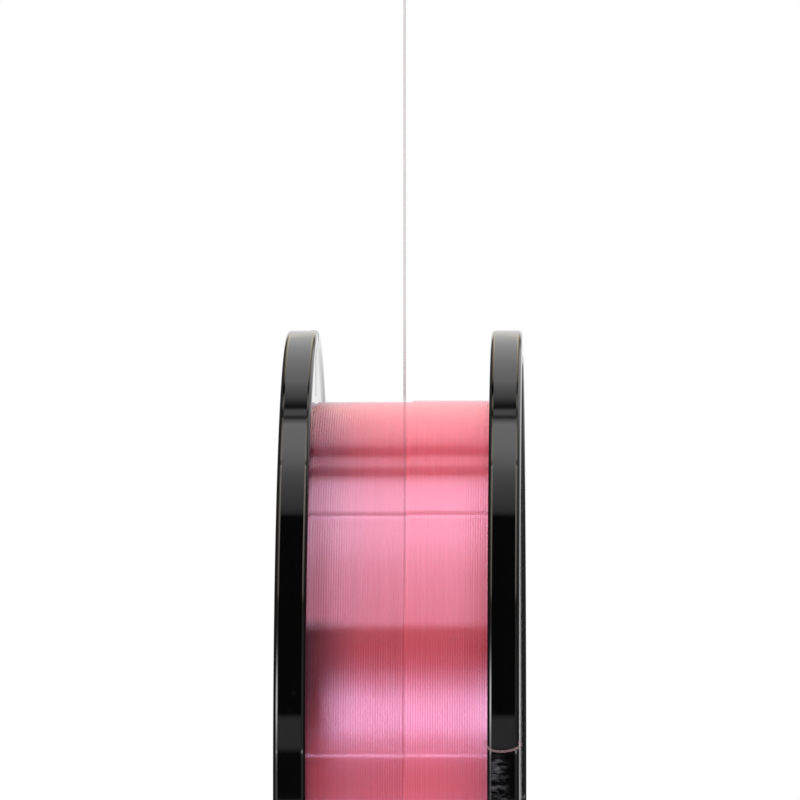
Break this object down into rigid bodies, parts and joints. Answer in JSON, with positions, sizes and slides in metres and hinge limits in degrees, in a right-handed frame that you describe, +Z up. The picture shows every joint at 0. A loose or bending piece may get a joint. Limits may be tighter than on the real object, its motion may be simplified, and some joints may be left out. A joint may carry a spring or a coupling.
{
  "type": "fishing line spool",
  "caption": "Black two-part filler spool wound with pink monofilament line, its end drawn off upwards to a loop.",
  "frame": {"origin": "middle of the spindle bore, half way between the outer faces", "axes": "+X along the spool's axis towards the half with the spindle tube, +Z up, -Y is the front where the line leaves"},
  "size_m": [0.0266, 0.1003, 0.1487],
  "materials": {
    "black_plastic": "glossy moulded black",
    "wound_line": "glossy translucent pink monofilament, wound",
    "single_line": "clear pinkish monofilament, single strand"
  },
  "bodies": {
    "root": {"left_half": "black_plastic", "right_half": "black_plastic", "line_core": "wound_line", "line_lower_layer": "wound_line", "line_top_layer": "wound_line", "starting_end": "single_line", "free_line": "single_line", "knot": "single_line", "end_loop": "single_line"}
  },
  "joints": []
}
